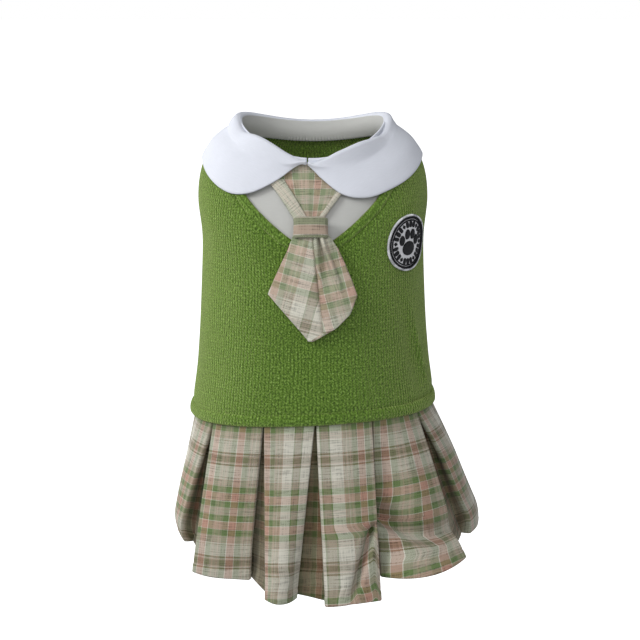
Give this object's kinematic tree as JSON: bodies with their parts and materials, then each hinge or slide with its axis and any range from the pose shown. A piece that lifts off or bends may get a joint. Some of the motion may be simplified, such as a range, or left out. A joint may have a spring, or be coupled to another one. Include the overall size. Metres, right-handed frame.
{
  "type": "dog dress",
  "caption": "Small dog's dress in its worn form: knitted vest over a shirt collar, plaid box-pleated skirt, short tie and round embroidered badge.",
  "frame": {"origin": "middle of the neck opening, level with the sewn edge of the knit at the back of the neck", "axes": "+Z out of the neck opening along the dress, -Y towards the decorated side that lies on the dog's back, +X to the right when facing the decorated side"},
  "size_m": [0.218, 0.2062, 0.305],
  "materials": {
    "knit_green": "flecked green wool-like knit, matt and slightly fuzzy",
    "cotton_white": "smooth white cotton",
    "plaid_cotton": "woven cotton in a cream, green, pink and brown plaid",
    "thread_white": "off-white embroidery thread with a soft sheen",
    "thread_black": "black embroidery thread with a soft sheen"
  },
  "bodies": {
    "root": {"bodice": "knit_green", "hem_band": "knit_green", "v_neck_band": "knit_green", "leg_band_left": "knit_green", "leg_band_right": "knit_green", "shirt_front": "cotton_white", "neck_band": "cotton_white", "collar": "cotton_white", "tie_panel": "plaid_cotton", "tie_strap_left": "plaid_cotton", "tie_strap_right": "plaid_cotton", "tie_knot": "plaid_cotton", "tie_tail": "plaid_cotton", "badge_patch": "thread_white", "badge_border": "thread_black", "badge_paw_palm": "thread_black", "badge_paw_toe_1": "thread_black", "badge_paw_toe_2": "thread_black", "badge_paw_toe_3": "thread_black", "badge_paw_toe_4": "thread_black", "skirt": "plaid_cotton"}
  },
  "joints": []
}
